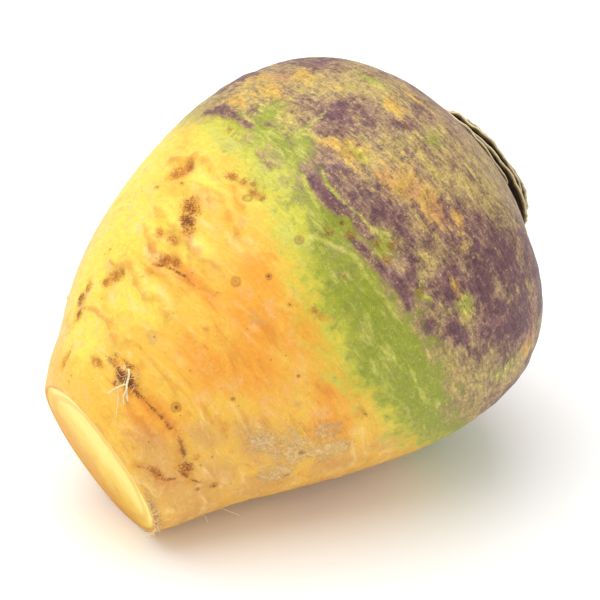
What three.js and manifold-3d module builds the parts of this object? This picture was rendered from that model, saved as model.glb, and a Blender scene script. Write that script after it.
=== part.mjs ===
// A rutabaga lying on its side: a swollen root whose tail is cut off flat, a rounded shoulder, and
// a short neck in a groove, ringed by the dried bases of the leaves. Millimetres, +Z up, z = 0 the
// surface it rests on, +X towards the crown. The root's own axis rises gently towards the crown.

import * as THREE from 'three';
import { mergeVertices } from 'three/addons/utils/BufferGeometryUtils.js';
import Module from 'manifold-3d';

const wasm = await Module();
wasm.setup();

// ---- Driving dimensions: millimetres, and degrees where a name says so ----

const PITCH_DEG = 24.6;       // how far the root's axis rises towards the crown
const REST_DEPTH = 0.7;       // how deep the resting spots are flattened into the round body
const SWAY_DEG = 44;          // the side that the root bows to, turned from up towards +Y
const CUT_SKEW_DEG = 2;       // how far the tail's cut face turns from square, about the upright
const CUT_LEAN_DEG = 4.5;     // how far the top of the cut face leans back towards the crown
const CUT_REACH = 24;         // length of the tail over which skew and lean die away

const AROUND = 64;            // points in each ring of the root
const ALONG = 54;             // rings from the tail to the top of the neck

// The root's outline from the cut tail to the neck's top: distance along the axis, radius there,
// and how far the section's centre is bowed off the axis.
const OUTLINE = [
  [0, 25.2, 0.0],
  [6, 29.3, 0.9],
  [14, 33.1, 1.6],
  [24, 38.5, 2.3],
  [36, 44.9, 2.5],
  [52, 51.7, 1.1],
  [72, 57.9, -0.9],
  [90, 60.4, -2.3],
  [106, 59.2, -3.3],
  [120, 52.6, -3.1],
  [131, 38.8, -1.4],
  [134.6, 32.0, -2.0],
  [135.6, 28.6, -3.6],
  [133.6, 25.6, -5.2],
  [136, 23.0, -6.2],
  [139.5, 19.5, -7.2],
  [143, 15.0, -8.2],
  [144.8, 9.8, -8.8],
  [145.6, 4.5, -9.0],
];
const NECK_RINGS = 5;         // how many of these, from the end, are the neck's own
const NECK_TOP = 145.8;       // the pole that closes the neck, on the axis of its last ring

// The dried leaf bases, set round the neck in a rising spiral.
const LEAF_BASES = 10;
const LEAF_TURN_DEG = 137.5;
const LEAF_FIRST = 136.3;     // distance along the axis of the lowest leaf base
const LEAF_RISE = 0.78;       // step along the axis from one leaf base to the next
const LEAF_SPAN_DEG = 152;    // how far round the neck each one reaches
const LEAF_STEPS = 16;
const LEAF_DEPTH = 3.4;       // from the neck out to the lip, at the middle
const LEAF_LIFT = 1.8;        // how much higher the lip stands than the foot
const LEAF_THICK = 1.2;       // thickness at the foot
const LEAF_LIP = 0.7;         // thickness at the lip
const LEAF_TIP = 0.3;         // size at both ends of the crescent, as a share of the middle
const GAP = 0.3;              // clearance between a leaf base and the neck

const skin = new THREE.MeshStandardMaterial({ color: '#e3b24f', roughness: 0.5, metalness: 0 });
const dried = new THREE.MeshStandardMaterial({ color: '#a98f66', roughness: 0.85, metalness: 0 });

const rad = THREE.MathUtils.degToRad;
const swayUp = Math.cos(rad(SWAY_DEG));
const swaySide = Math.sin(rad(SWAY_DEG));

// ---- Helpers ----

// A closed body from rings of equal length: quads between rings, a fan of triangles on each end.
function loft(rings, startPole, endPole) {
  const n = rings[0].length;
  const points = [...rings.flat(), startPole, endPole];
  const start = points.length - 2;
  const end = points.length - 1;
  const last = (rings.length - 1) * n;
  const index = [];
  for (let i = 0; i < n; i += 1) {
    const j = (i + 1) % n;
    index.push(start, i, j);
    index.push(end, last + j, last + i);
    for (let r = 0; r < rings.length - 1; r += 1) {
      const a = r * n;
      const b = a + n;
      index.push(a + i, b + j, a + j);
      index.push(a + i, b + i, b + j);
    }
  }
  const geometry = new THREE.BufferGeometry().setFromPoints(points);
  geometry.setIndex(index);
  return geometry;
}

// Manifold solid of a closed three.js geometry.
function solidOf(geometry) {
  const bare = geometry.clone();
  bare.deleteAttribute('normal');
  bare.deleteAttribute('uv');
  const merged = mergeVertices(bare);
  const mesh = new wasm.Mesh({
    numProp: 3,
    vertProperties: new Float32Array(merged.attributes.position.array),
    triVerts: new Uint32Array(merged.index.array),
  });
  return new wasm.Manifold(mesh);
}

// three.js geometry of a Manifold solid.
function geometryOf(solid) {
  const mesh = solid.getMesh();
  const geometry = new THREE.BufferGeometry();
  geometry.setAttribute('position', new THREE.BufferAttribute(mesh.vertProperties, 3));
  geometry.setIndex(new THREE.BufferAttribute(mesh.triVerts, 1));
  geometry.computeVertexNormals();
  return geometry;
}

// The mean of a ring's points.
function middleOf(ring) {
  const sum = ring.reduce((total, point) => total.add(point), new THREE.Vector3());
  return sum.divideScalar(ring.length);
}

// A point of the root's own frame: X along its axis, Z its upper side, angle turned from Z to Y.
function around(station, radius, angle, sway) {
  const y = swaySide * sway + radius * Math.sin(angle);
  const z = swayUp * sway + radius * Math.cos(angle);
  return new THREE.Vector3(station, y, z);
}

// ---- The root ----

// The outline as one smooth curve, with station, radius and sway in its x, y and z.
const outline = new THREE.CatmullRomCurve3(
  OUTLINE.map(([station, radius, sway]) => new THREE.Vector3(station, radius, sway)),
  false,
  'centripetal',
);

// One ring of the root; near the tail it tips over to lie in the slanting cut.
function rootRing({ x: station, y: radius, z: sway }) {
  const ring = [];
  const share = Math.max(0, 1 - station / CUT_REACH);
  const skew = share * Math.tan(rad(CUT_SKEW_DEG));
  const lean = share * Math.tan(rad(CUT_LEAN_DEG));
  for (let i = 0; i < AROUND; i += 1) {
    const point = around(station, radius, (2 * Math.PI * i) / AROUND, sway);
    point.x += skew * point.y + lean * point.z;
    ring.push(point);
  }
  return ring;
}

function rootBody() {
  const rings = outline.getSpacedPoints(ALONG).map(rootRing);
  const neckSway = OUTLINE.at(-1)[2];
  return loft(rings, new THREE.Vector3(0, 0, 0), around(NECK_TOP, 0, 0, neckSway));
}

// How far the tilted root is raised so that its lowest points lie REST_DEPTH under the surface.
const tilted = rootBody().rotateY(-rad(PITCH_DEG));
tilted.computeBoundingBox();
const lift = -tilted.boundingBox.min.z - REST_DEPTH;

// The tilted root with its resting spots cut flat by the surface.
function restingRoot() {
  const body = tilted.clone().translate(0, 0, lift);
  body.computeBoundingBox();
  const size = body.boundingBox.getSize(new THREE.Vector3());
  const middle = body.boundingBox.getCenter(new THREE.Vector3());
  const slab = new THREE.BoxGeometry(2 * size.x, 2 * size.y, size.z);
  slab.translate(middle.x, middle.y, -size.z / 2);
  return geometryOf(solidOf(body).subtract(solidOf(slab)));
}

// ---- The leaf bases ----

// The neck's radius and sway at a station, read off the outline's rising neck.
function neckAt(station) {
  const neck = OUTLINE.slice(-NECK_RINGS);
  const above = neck.findIndex(([height]) => height >= station);
  const [lowStation, lowRadius, lowSway] = neck[above - 1];
  const [highStation, highRadius, highSway] = neck[above];
  const share = (station - lowStation) / (highStation - lowStation);
  return {
    radius: THREE.MathUtils.lerp(lowRadius, highRadius, share),
    sway: THREE.MathUtils.lerp(lowSway, highSway, share),
  };
}

// One crescent that hugs the neck and thins out towards both ends.
function leafBase(step) {
  const foot = LEAF_FIRST + step * LEAF_RISE;
  const { radius, sway } = neckAt(foot);
  const inner = radius + GAP;
  const middle = rad(step * LEAF_TURN_DEG);
  const rings = [];
  for (let i = 0; i <= LEAF_STEPS; i += 1) {
    const along = (2 * i) / LEAF_STEPS - 1;
    const size = LEAF_TIP + (1 - LEAF_TIP) * Math.sqrt(1 - along * along);
    const angle = middle + (along * rad(LEAF_SPAN_DEG)) / 2;
    const depth = LEAF_DEPTH * size;
    const rise = LEAF_LIFT * size;
    const thick = LEAF_THICK * size;
    rings.push([
      around(foot + thick, inner, angle, sway),
      around(foot + rise * 0.5 + thick, inner + depth * 0.5, angle, sway),
      around(foot + rise + LEAF_LIP * size, inner + depth * 0.95, angle, sway),
      around(foot + rise, inner + depth, angle, sway),
      around(foot + rise * 0.35, inner + depth * 0.6, angle, sway),
      around(foot, inner, angle, sway),
    ]);
  }
  return loft(rings, middleOf(rings[0]), middleOf(rings.at(-1)));
}

// ---- Assembly ----

function named(name, geometry, material) {
  const mesh = new THREE.Mesh(geometry, material);
  mesh.name = name;
  return mesh;
}

const rutabaga = new THREE.Group();
rutabaga.add(named('root', restingRoot(), skin));

const crown = new THREE.Group();
crown.rotation.y = -rad(PITCH_DEG);
crown.position.z = lift;
for (let step = 0; step < LEAF_BASES; step += 1) {
  const name = `leaf_base_${String(step + 1).padStart(2, '0')}`;
  crown.add(named(name, leafBase(step), dried));
}
rutabaga.add(crown);

// The origin stands at the middle of the footprint.
rutabaga.updateMatrixWorld(true);
const footprint = new THREE.Box3().setFromObject(rutabaga, true).getCenter(new THREE.Vector3());
rutabaga.position.set(-footprint.x, -footprint.y, 0);

export default rutabaga;
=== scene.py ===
"""A rutabaga lying on its side: the swollen root with its scars, ridges and mottled crown, the
dried leaf bases round its neck, its rootlets, and the pale studio that it lies in."""

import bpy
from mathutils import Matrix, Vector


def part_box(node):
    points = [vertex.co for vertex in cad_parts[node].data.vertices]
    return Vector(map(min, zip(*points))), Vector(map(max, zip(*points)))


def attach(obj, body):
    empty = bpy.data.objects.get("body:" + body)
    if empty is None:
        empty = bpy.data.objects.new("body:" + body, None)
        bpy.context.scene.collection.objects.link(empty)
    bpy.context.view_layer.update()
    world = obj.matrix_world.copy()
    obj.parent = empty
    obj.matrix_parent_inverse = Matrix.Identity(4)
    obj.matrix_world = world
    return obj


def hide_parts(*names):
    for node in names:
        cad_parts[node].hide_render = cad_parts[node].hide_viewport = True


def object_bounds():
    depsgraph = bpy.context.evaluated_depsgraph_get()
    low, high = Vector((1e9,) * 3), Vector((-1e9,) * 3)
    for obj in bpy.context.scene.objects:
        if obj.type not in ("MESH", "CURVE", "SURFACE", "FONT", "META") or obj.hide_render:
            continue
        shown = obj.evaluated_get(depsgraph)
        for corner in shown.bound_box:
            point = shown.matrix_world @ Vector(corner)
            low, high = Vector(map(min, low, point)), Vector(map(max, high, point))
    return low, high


bl_info = {
    "name": "Rutabaga",
    "version": (1, 0, 0),
    "blender": (4, 5, 0),
    "location": "3D View > Sidebar > Rutabaga",
    "description": "Grows a rutabaga in mesh and node code around its solid model",
    "category": "Object",
}

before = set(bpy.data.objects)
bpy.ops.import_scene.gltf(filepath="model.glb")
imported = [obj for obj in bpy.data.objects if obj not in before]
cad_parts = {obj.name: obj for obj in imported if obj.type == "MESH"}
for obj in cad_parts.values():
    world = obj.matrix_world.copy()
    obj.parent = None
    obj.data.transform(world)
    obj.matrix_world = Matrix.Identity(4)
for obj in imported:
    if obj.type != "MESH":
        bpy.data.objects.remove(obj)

import math

import bpy
import numpy as np
from mathutils import Vector

CAD_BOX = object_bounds()
BODY = "root"
SKIN_SLOT = "root_skin"
LEAF_SLOT = "dried_leaf_base"
MM = 0.001                        # one millimetre in the scene's metres

# ---------------------------------------------------------------------------------------------
# The root's own measures, in millimetres and degrees. Its own frame has X along the axis from
# the cut tail to the crown and Z on its upper side; a turn is counted from Z towards Y.
# ---------------------------------------------------------------------------------------------

PITCH = 24.6                      # rise of the axis towards the crown
REST_DEPTH = 0.7                  # how deep the resting spots are flattened
SWAY_TURN = 44.0                  # the side that the root bows to
CUT_SKEW, CUT_LEAN = 2.0, 4.5     # how the cut face slants, about the upright and backwards
CUT_REACH = 24.0                  # length of the tail over which the slant dies away

# Station along the axis, radius, and sway of the section's centre.
OUTLINE = np.array([
    (0, 25.2, 0.0), (6, 29.3, 0.9), (14, 33.1, 1.6), (24, 38.5, 2.3), (36, 44.9, 2.5),
    (52, 51.7, 1.1), (72, 57.9, -0.9), (90, 60.4, -2.3), (106, 59.2, -3.3), (120, 52.6, -3.1),
    (131, 38.8, -1.4), (134.6, 32.0, -2.0), (135.6, 28.6, -3.6), (133.6, 25.6, -5.2),
    (136, 23.0, -6.2), (139.5, 19.5, -7.2), (143, 15.0, -8.2), (144.8, 9.8, -8.8),
    (145.6, 4.5, -9.0),
])
CREST = 12                        # the outline's point on the crest of the shoulder
NECK_POINTS = 5                   # how many points at the end of the outline are the neck's
NECK_SKIN = 18.0                  # length of skin past the groove, up the neck
CROWN_POLE = (145.8, -9.0)        # station and sway of the very top

RING_STEP = 0.56                  # distance from ring to ring along the skin
AROUND = 272                      # points in each ring
FACE_RINGS = 26                   # rings across the cut face
RIM_ROUND = 0.5                   # how far the cut's edge is eased
NEAR_TURN = -46.0                 # the side where the points of a ring stand closest
NEAR_SHARE = 0.42                 # how much closer they stand there
GRAIN_RADIUS = 60.0               # radius at which grain along the rings is true to size

# Sizes and heights of the fine relief, besides what the panel sets.
WIDE_LUMPS, SMALL_LUMPS = 30, 12
KNOBS, KNOB_HEIGHT = 3.2, 0.10
RING_GRAIN, RING_SQUASH = 3.4, (1.0, 0.12, 0.12)
RING_HEIGHT, CROWN_RING_HEIGHT = 0.07, 0.09
ROUGH_SIZE, CRUMB_SIZE = 1.7, 1.1
CRACK_DEPTH, SCAR_RIM, PORE_RIM, CORK_HEIGHT = 0.4, 0.3, 0.25, 0.22
CUT_WAVE, CUT_WAVE_HEIGHT = 9.0, 0.25     # the knife's slow waves across the cut face
CUT_GRAIN, CUT_GRAIN_HEIGHT = 1.8, 0.06   # and the grain of its flesh
NECK_FOLDS, NECK_FOLD_HEIGHT = 23, 0.25   # folds round the withered neck
NECK_KNOBS, NECK_KNOB_HEIGHT = 3.0, 0.35
STRAY = 6.0                       # size of the wobbles in the edges of colours
LOOSE_STRAY, CLOSE_STRAY = 1.5, 0.45      # how far a colour strays, at most about twice this

# ---------------------------------------------------------------------------------------------
# Where the colours change, as (turn, station) round the root.
# ---------------------------------------------------------------------------------------------

GREEN_FROM = [(-180, 74), (-150, 76), (-131, 72), (-114, 64), (-97, 59), (-76, 55), (-62, 57),
              (-50, 60), (-38, 64), (-22, 69), (0, 74), (22, 78), (60, 76), (110, 70), (150, 72)]
PURPLE_FROM = [(-180, 104), (-150, 104), (-117, 79), (-100, 80), (-82, 80), (-66, 80), (-55, 80),
               (-37, 79), (-23, 81), (-2, 83), (24, 80), (60, 84), (110, 90), (150, 98)]

# Soft patches of colour, as (station, turn, half length along the axis, half width round it).
PATCHES = {
    "dull": [(74, -24, 5, 5), (79, -28, 5, 5), (74, -48, 4, 6), (78, -62, 5, 5), (80, -16, 4, 5),
             (76, 0, 4, 6), (86, -96, 6, 8), (78, -108, 7, 8)],
    "pale": [(75, -18, 9, 12), (76, 8, 9, 13), (70, -34, 6, 8), (44, 16, 14, 22),
             (50, -4, 9, 13), (48, -18, 7, 6), (30, -12, 8, 13), (15, 4, 9, 11),
             (28, 22, 16, 14), (64, -4, 6, 9), (60, 30, 16, 20)],
    "orange": [(46, -48, 10, 15), (55, -60, 9, 12), (54, -80, 10, 13), (40, -60, 10, 14),
               (60, -70, 5, 12), (48, -92, 9, 9), (42, -28, 3, 12), (30, -50, 8, 12),
               (12, -52, 8, 10), (56, -38, 5, 9)],
    "tan": [(8, -62, 6, 10), (18, -96, 10, 10), (6, -86, 10, 16), (20, -74, 7, 8),
            (10, -120, 14, 14), (12, -104, 12, 16), (26, -116, 12, 12), (46, -116, 14, 9),
            (60, -112, 10, 7), (30, -88, 10, 12), (8, -72, 9, 12), (50, -150, 30, 26),
            (20, 160, 22, 40)],
    "olive": [(85, -101, 5, 9), (88, -114, 7, 8), (83, -88, 4, 6), (96, 12, 10, 18),
              (104, 2, 8, 12), (88, 26, 8, 10), (108, -34, 8, 9), (112, -46, 7, 10),
              (92, -61, 4, 4), (91, -79, 4, 5), (88, -100, 6, 8), (100, -112, 10, 8),
              (98, -30, 6, 8), (102, -38, 6, 8), (114, -12, 8, 12), (92, -8, 6, 10),
              (118, -62, 6, 10), (100, 60, 14, 24), (96, 150, 12, 22)],
    "ochre": [(96, -27, 4.5, 6), (94, -22, 3, 4), (99, -42, 6, 6), (101, -50, 4.5, 8),
              (124, -20, 2.6, 3.6), (96, 6, 3.4, 7), (106, 6, 3, 6), (104, -57, 3, 5),
              (97, -38, 3, 3), (89, 14, 3, 6), (100, 16, 3, 6), (116, -22, 3, 4),
              (93, -70, 3, 5), (100, 40, 6, 9), (112, 80, 6, 8), (108, -108, 5, 8),
              (98, 130, 8, 12), (116, -150, 6, 10), (120, 160, 5, 8)],
    "pink": [(81, -11, 4, 5), (97, -38, 5, 4), (100, -45, 4, 5), (102, -52, 4, 5),
             (110, -104, 5, 9), (102, 10, 4, 8)],
    "lime": [(84.6, -52, 4.2, 3.6), (79, -41, 4, 4), (81, 6, 4, 5), (117, -37, 5, 4),
             (119, -8, 3, 7), (97, -28, 2.6, 4), (92, -76, 5, 3), (97, -107, 6, 4),
             (88, -16, 6, 5), (86, -8, 5, 5), (91, 0, 5, 5), (110, 60, 7, 9), (95, 170, 9, 14)],
    # Dark: darker purple of the crown; the broad patches at turns of about -68 to -94 are painted
    # shade on the side of the crown turned away from the light.
    "dark": [(102, -17, 6, 8), (108, -16, 4, 5), (98, -21, 3, 3), (113, -29, 3.2, 4.2),
             (107.6, -36, 2, 2), (110, -74, 13, 18), (94, -68, 7, 9), (87, -83, 4, 8),
             (99, -91, 7, 8), (104, -94, 12, 14), (121, -84, 8, 18), (101, -74, 8, 10),
             (98, -88, 6, 7), (106, -94, 8, 8), (114, 14, 6, 12), (90, 3, 2.6, 3),
             (118, -54, 3, 8), (81.5, -75.5, 2.0, 3.0), (100, 28, 5, 8), (104, 100, 12, 22),
             (100, -130, 8, 12), (112, 150, 9, 20)],
    "cork": [(37, -98, 8, 9), (45, -104, 6, 6), (31, -107, 5, 6), (46, -94, 5, 4),
             (31, -86, 4, 5)],
}

# Lines and bands on the skin, as points of (station, turn, half width).
RIDGES = [
    [(86.5, -26, 0.5), (84, -30, 0.6), (83.8, -35, 0.6), (84, -38, 0.6), (84.8, -42, 0.6),
     (85, -46, 0.7), (86.5, -49, 1.2)],
    [(85.6, 8, 0.5), (84.8, -2, 0.6), (83.5, -9, 0.6), (83, -14, 0.6), (81, -19, 0.5)],
    [(72.5, -38, 0.5), (74, -42, 0.8), (76, -49, 0.9), (75.5, -54, 0.8), (75.5, -60, 0.7),
     (76, -66, 0.5)],
    [(81.5, -24, 0.6), (79.5, -28, 0.9), (78, -33, 0.8), (76, -37, 0.7)],
    [(90, -13, 0.8), (95, -13.5, 1.1), (100.5, -12, 0.8)],
    [(119.4, -47, 0.6), (118.8, -55, 0.6), (119, -60, 0.6), (121, -67, 0.7), (123.5, -77, 0.7),
     (125.8, -88, 0.7), (125, -96, 0.6)],
    [(78, 14, 0.7), (78.5, 6, 0.8), (77.5, -2, 0.7), (75, -8, 0.5)],
    [(86, -70, 0.5), (84, -67, 0.7), (86, -64, 0.6), (89, -62, 0.5)],
]
PURPLE_BANDS = [
    [(82.5, -26, 1.0), (81.3, -31, 1.7), (82, -36.5, 1.8), (83, -40, 1.5), (82.8, -43, 1.5),
     (83.2, -47, 1.0)],
    [(89, -28, 2.2), (89.5, -34, 3.6), (90, -39, 4.3), (89.5, -44, 3.6), (89, -49, 2.4),
     (89.7, -54, 1.4), (88, -58, 1.0), (85.2, -61, 1.0), (84.5, -65, 0.8)],
    [(78.5, -45, 0.9), (79.2, -50, 1.4), (79.5, -54.5, 1.4), (80.6, -58, 1.6),
     (81.3, -61, 1.7), (80.7, -65, 1.6), (79.7, -68, 1.2)],
    [(82.8, 19, 1.6), (84.8, 14, 1.9), (84.2, 8, 1.6), (84, 2, 1.4), (84, -1, 1.0)],
    [(78.5, -11, 0.8), (78, -16, 0.5)],
    [(104.3, -41, 0.9), (102.5, -45.5, 0.8), (100.8, -49, 0.6)],
    [(86.8, -4, 0.7), (87.5, -10, 0.6), (86, -15, 0.5)],
]
# Smooth folds that only shade the skin, as points of (station, turn, half width).
FOLDS = [
    [(46, 3, 1.5), (43.6, -6, 2.0), (38.6, -12, 2.1), (38, -24, 1.5)],
    [(51, 4, 1.5), (50, -6, 2.1), (49, -14, 2.1), (49, -28, 1.5)],
    [(59, 5, 1.5), (62, -2, 1.8), (62, -13, 2.0), (59, -24, 1.5)],
    [(66, 15, 1.5), (68.5, 3, 1.8), (66.5, -10, 1.7), (66, -20, 1.4)],
    [(34, 9, 1.7), (35, -4, 2.1), (32, -16, 2.0), (33, -26, 1.5)],
    [(20, 12, 1.7), (22, -4, 2.0), (20, -20, 1.7)],
    [(10, -34, 1.5), (9, -46, 1.8), (10, -58, 1.5)],
    [(24, -60, 1.5), (25, -72, 2.0), (23, -84, 1.5)],
    [(70, -40, 1.4), (69, -54, 1.8), (70, -66, 1.4)],
    [(94, -4, 1.5), (96, -16, 1.8), (95, -26, 1.5)],
    [(105, -46, 1.5), (106, -60, 2.0), (104, -72, 1.5)],
    [(60, 60, 1.8), (58, 80, 2.2), (60, 100, 1.8)],
    [(40, 130, 1.8), (42, 150, 2.2), (40, 168, 1.8)],
    [(90, 140, 1.8), (92, 160, 2.2), (90, 184, 1.8)],
]
# Mounds on the skin, as (station, turn, radius, height), and how much all are heightened.
MOUND_GAIN = 1.5
MOUNDS = [
    (78.4, -41, 5.0, 1.1), (84.3, -53, 5.2, 1.3), (80.3, 7, 5.4, 0.8), (70, -12, 5, 0.5),
    (69.7, -19, 4, 0.5), (56, -7, 5, 0.5), (42, -14, 5, 0.4), (31, 2, 5, 0.4), (64, 7, 5, 0.5),
    (88, 84, 7, 0.7), (84, 120, 7, 1.0), (60, 150, 6, 0.7), (46, 90, 6, 0.6), (74, -160, 6, 0.8),
]
# Scar tissue, as (station, turn, half length, half width, depth, how burnt it is).
SCARS = [
    (13.4, -27, 2.4, 3.0, 1.0, 1.0), (13.8, -32, 1.8, 2.8, 0.8, 1.0),
    (13.4, -39, 0.9, 3.4, 0.4, 0.6), (10.7, -10, 1.6, 2.4, 0.1, 0.1),
    (14.0, -17, 1.4, 2.4, 0.1, 0.2), (13.7, -22, 1.4, 2.4, 0.3, 0.5),
    (10.6, -26, 1.8, 1.4, 0.3, 0.5), (16.6, -26, 1.0, 2.6, 0.2, 0.4),
    (16, -18, 0.8, 0.8, 0.1, 0.5), (56.6, -6.0, 2.6, 4.4, 0.4, 0.55),
    (53.2, -9.4, 2.6, 3.8, 0.7, 0.8), (51, -12, 1.6, 2.6, 0.2, 0.3),
    (58.6, -4.5, 1.4, 1.5, 0.1, 0.35), (62.3, 8.4, 2.8, 3.4, 0.1, 0.1),
    (65.4, 5.9, 2.4, 2.6, 0.1, 0.2), (60.4, 2.2, 0.6, 1.8, 0.2, 0.5),
    (56.2, 11.5, 1.2, 1.6, 0.1, 0.1), (46.5, -4.1, 1.6, 2.0, 0.1, 0.12),
    (47.1, -10, 1.3, 2.2, 0.1, 0.12), (42, -13, 2.4, 2.8, 0.1, 0.1),
    (43, -16.4, 2.0, 2.4, 0.1, 0.1), (31.2, 3.4, 2.0, 2.8, 0.2, 0.22),
    (28.8, 6.4, 1.6, 2.4, 0.2, 0.25), (33, 0.2, 1.2, 1.6, 0.1, 0.1),
    (36, 13, 0.6, 0.8, 0.2, 0.5), (22.5, 19.5, 2.6, 2.0, 0.3, 0.7),
    (18.5, 16.3, 2.2, 1.8, 0.3, 0.5), (26, 17, 1.8, 2.0, 0.1, 0.2),
    (5.6, 12.5, 1.6, 1.0, 0.2, 0.5), (8.6, 11.3, 1.8, 0.8, 0.2, 0.4),
    (69.3, -9.8, 2.1, 2.2, 0.1, 0.18), (70.6, -13.2, 1.5, 1.6, 0.1, 0.2),
    (69.7, -18, 1.6, 1.6, 0.1, 0.15), (69.9, -21, 1.1, 1.3, 0.1, 0.15),
    (71.5, -16, 1.2, 1.2, 0.1, 0.12), (75.6, -40, 1.5, 1.7, 0.3, 0.3),
    (79.8, -40.2, 0.7, 1.0, 0.3, 0.8), (79.1, -44, 1.9, 2.1, 0.3, 0.3),
    (83.4, -50, 1.4, 1.5, 0.2, 0.3), (82.6, -55, 1.6, 1.8, 0.3, 0.3),
    (86, -53, 2.2, 1.5, 0.2, 0.35), (80.4, 5.3, 1.5, 1.7, 0.2, 0.2),
    (12.4, -82, 2.4, 2.6, 0.4, 0.5), (15.5, -80, 1.2, 1.4, 0.2, 0.3),
    (5.2, -76, 1.8, 2.4, 0.4, 0.3), (97, 9, 0.7, 0.9, 0.2, 0.7),
    (113, -29.4, 0.7, 0.8, 0.1, 0.7), (60, -55, 1.2, 1.4, 0.1, 0.2),
    (56, -50, 0.7, 0.8, 0.1, 0.4), (88, 84, 2.0, 2.4, 0.3, 0.4), (84, 120, 2.2, 2.4, 0.4, 0.5),
    (60, 150, 2.4, 2.6, 0.5, 0.5), (46, 90, 2.0, 2.4, 0.4, 0.4), (16, 82, 2.4, 3.4, 0.6, 0.9),
    (14, 150, 2.2, 3.0, 0.7, 0.8), (70, -160, 2.0, 2.4, 0.4, 0.4),
]
# Brown cracks, as points of (station, turn, half width).
CRACKS = [
    [(13.4, -44, 0.4), (14, -49, 0.5), (14.2, -56, 0.7), (14.4, -61, 0.6)],
    [(14.6, -66, 0.5), (14.4, -71, 0.8), (13.6, -77, 0.9), (12.8, -80, 0.8)],
    [(10.4, -81, 0.7), (11.6, -88, 0.5), (13.6, -94, 0.4), (15.8, -100, 0.4)],
    [(2.6, -66, 0.5), (4.2, -71, 0.8), (6.2, -81, 0.7), (8.5, -84, 0.5)],
    [(39.6, -10, 0.4), (40.6, -16, 0.5), (41.8, -22, 0.5), (41.8, -29, 0.4)],
    [(56.4, -90, 0.35), (56.8, -93, 0.5), (57.2, -96, 0.3)],
    [(40, -90, 0.35), (48.5, -92.2, 0.4), (58, -93.6, 0.3)],
    [(18.6, 95, 0.6), (17.6, 110, 0.8), (18.4, 124, 0.5)],
]
# Brown stain beside scars and cracks, as points of (station, turn, half width).
STAINS = [
    [(14, -18, 2.0), (13, -28, 4.5), (14, -40, 2.6), (14.5, -50, 2.0), (14.6, -60, 2.2)],
    [(15, -66, 1.8), (14, -74, 2.2), (12, -82, 3.6), (11.6, -90, 1.6), (14.5, -98, 1.4)],
    [(1.5, -62, 1.2), (4, -70, 1.8), (6, -80, 2.2), (8, -85, 1.6)],
    [(56.5, -6, 5.0), (53, -10, 3.6), (48, -16, 1.6), (45, -22, 1.4)],
    [(43, -5, 1.0), (41, -12, 2.6), (42, -18, 2.6), (42, -28, 1.6), (43, -36, 1.2)],
    [(62, 9, 3.4), (65, 6, 3.0)],
    [(70, -9, 2.6), (70, -20, 2.0)],
    [(47, -3, 2.0), (47.2, -11, 2.0)],
    [(29, 7, 2.4), (32, 1, 2.4)],
    [(26, 17, 2.6), (18, 17, 3.0)],
    [(10.7, -9, 2.0), (11, -13, 1.6)],
    [(9, 12, 1.4), (5, 13, 1.6)],
    [(57, -86, 1.4), (56.5, -94, 1.6)],
    [(57, -51, 1.0), (60, -56, 1.5), (62, -61, 1.0)],
    [(36, -40, 1.0), (37, -46, 0.8)],
]
# Pores ringed with cork, as (station, turn, radius of the ring, darkness of the eye).
PORES = [
    (18.6, -54.8, 1.25, 1.0), (16.0, -100.9, 1.15, 0.9), (12.2, -98.2, 0.7, 0.7),
    (30.8, -65.8, 0.55, 0.7), (38.5, -100.5, 0.9, 0.8), (33.3, -112.5, 0.7, 0.6),
    (68.7, -37.0, 1.15, 0.5), (49.9, -34.9, 1.2, 0.5), (56.7, -39.8, 0.85, 0.9),
    (84.2, -66.8, 1.1, 0.4), (41.6, -12.8, 1.1, 0.5), (43.0, -15.9, 1.0, 0.5),
    (67.4, -18.0, 1.1, 0.3), (65.4, 5.6, 1.0, 0.6), (71, -52, 0.6, 0.5), (47, -70, 0.5, 0.8),
    (24, 50, 1.2, 0.8), (52, 70, 1.1, 0.6), (36, 120, 1.3, 0.9), (66, 170, 1.2, 0.6),
]

# Rootlets, as points of (station, turn, height above the skin) and a thickness.
ROOTLETS = [
    ([(14.6, -27, -0.6), (15.4, -28.5, 1.2), (14.2, -30.5, 1.9), (12.4, -32, 1.7),
      (10.8, -34.5, 1.6), (9.6, -37.5, 1.4)], 0.62),
    ([(12.6, -32, 1.5), (10.6, -30.4, 2.3), (8.8, -28.6, 2.1), (6.9, -27, 1.6)], 0.5),
    ([(12.2, -31.6, 1.6), (11.4, -33.6, 2.5), (9.4, -34.8, 2.7), (8.2, -37.2, 2.0)], 0.45),
    ([(9.8, -29.6, 2.0), (8.4, -32.6, 1.3), (6.4, -35.4, 0.9), (3.7, -39.2, 0.6)], 0.22),
    ([(17, -133, -0.3), (18.4, -136, 1.6), (20, -139, 3.4), (21, -143, 5.0)], 0.2),
    ([(12.5, -133, -0.3), (12.8, -136, 1.2), (12.6, -139, 2.8)], 0.18),
    ([(38, -14, 0.1), (34, -9, 0.3), (30, -5.5, 0.2)], 0.12),
]
# Fine rootlets curled in the largest scar: how many, where, and how thick they are. Each
# starts about the place and wanders on, by so much in station, turn and height.
TANGLE, TANGLE_AT = 30, (13.4, -29.5, 0.2)
TANGLE_START, TANGLE_STEP = (1.1, 2.6, 0.4), (0.9, 1.5, 0.35)
TANGLE_THICK = (0.08, 0.15)
# Torn fibres on the lower side of the cut's rim.
TAIL_FIBRES = 26
FIBRE_TURN, FIBRE_SPREAD = -132, 11
FIBRE_LENGTH, FIBRE_THICK = (0.8, 2.6), (0.18, 0.42)
TORN_TURN, TORN_WIDTH = -110.0, 32.0   # where the cut's rim is torn and crumbly

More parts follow.
